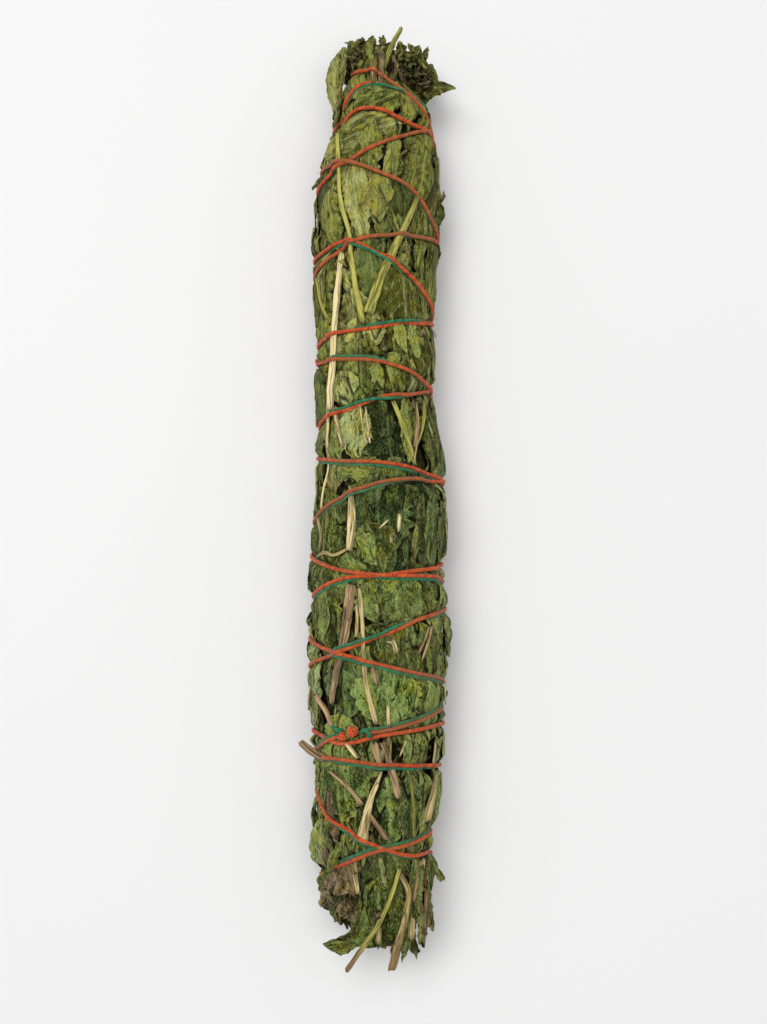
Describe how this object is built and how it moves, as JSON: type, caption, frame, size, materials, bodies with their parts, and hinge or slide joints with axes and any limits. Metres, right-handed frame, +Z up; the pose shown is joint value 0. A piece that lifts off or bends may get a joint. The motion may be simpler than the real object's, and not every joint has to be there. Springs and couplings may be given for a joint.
{
  "type": "herbal smudge stick",
  "caption": "Long bundle of dried sage-green leaves and stems, lying on its side and bound with red and green cotton thread wound up and back down.",
  "frame": {"origin": "point on the flattened underside, below the middle of the bundle's length and width", "axes": "+Y along the bundle towards its leafy tip, +X to its right seen from above, +Z up from the surface it lies on"},
  "size_m": [0.0373, 0.2202, 0.0297],
  "materials": {
    "red_cotton": "matte plied thread",
    "green_cotton": "matte plied thread",
    "straw_stem": "dry, fibrous",
    "green_stem": "dry, ribbed",
    "brown_stem": "dry, fibrous",
    "leaf_green": "dry, wrinkled",
    "leaf_pale": "dry, downy",
    "leaf_dark": "dry, wrinkled",
    "leaf_brown": "dry, crumpled"
  },
  "bodies": {
    "root": {"red_thread": "red_cotton", "green_thread": "green_cotton", "thread_knot": "red_cotton", "petiole_upper_left": "green_stem", "straw_stem_upper": "straw_stem", "straw_fork_left": "straw_stem", "straw_fork_right": "straw_stem", "leaning_stem": "green_stem", "crossed_stem_long": "green_stem", "crossed_stem_short": "brown_stem", "split_stem": "straw_stem", "brown_stem_middle": "brown_stem", "pale_stem_middle": "straw_stem", "slanting_stem": "brown_stem", "twin_stem_left": "brown_stem", "twin_stem_right": "straw_stem", "fanned_stem": "straw_stem", "ragged_stem": "straw_stem", "leaf_rib_lower_left": "brown_stem", "back_stem_left": "brown_stem", "back_stem_right": "straw_stem", "end_stalk_left": "straw_stem", "end_stalk_right": "straw_stem", "side_stub": "brown_stem", "tip_stub": "green_stem", "tip_leaf_left": "leaf_pale", "tip_leaf_curl": "leaf_dark", "tip_leaf_middle": "leaf_green", "tip_leaf_right": "leaf_brown", "tip_leaf_outer": "leaf_dark", "tip_leaf_side": "leaf_pale", "end_leaf_large": "leaf_green", "end_leaf_purple": "leaf_brown", "end_leaf_flap": "leaf_pale", "end_leaf_right": "leaf_green", "under_leaf_1": "leaf_dark", "under_leaf_2": "leaf_dark", "under_leaf_3": "leaf_dark", "under_leaf_4": "leaf_dark", "under_leaf_5": "leaf_dark", "wrap_leaf_neck": "leaf_pale", "wrap_leaf_shoulder": "leaf_pale", "wrap_leaf_sage": "leaf_pale", "wrap_leaf_right_top": "leaf_green", "wrap_leaf_right_upper": "leaf_pale", "wrap_leaf_left_upper": "leaf_green", "wrap_leaf_middle": "leaf_green", "wrap_leaf_dark": "leaf_dark", "wrap_leaf_left_middle": "leaf_green", "wrap_leaf_broad": "leaf_green", "wrap_leaf_knot": "leaf_green", "wrap_leaf_low": "leaf_dark", "wrap_leaf_flank_left_1": "leaf_dark", "wrap_leaf_flank_left_2": "leaf_dark", "wrap_leaf_flank_right_1": "leaf_dark", "wrap_leaf_flank_right_2": "leaf_dark", "inner_stalk_1": "brown_stem", "inner_stalk_2": "brown_stem", "inner_stalk_3": "brown_stem", "packed_leaves": "leaf_dark"}
  },
  "joints": []
}
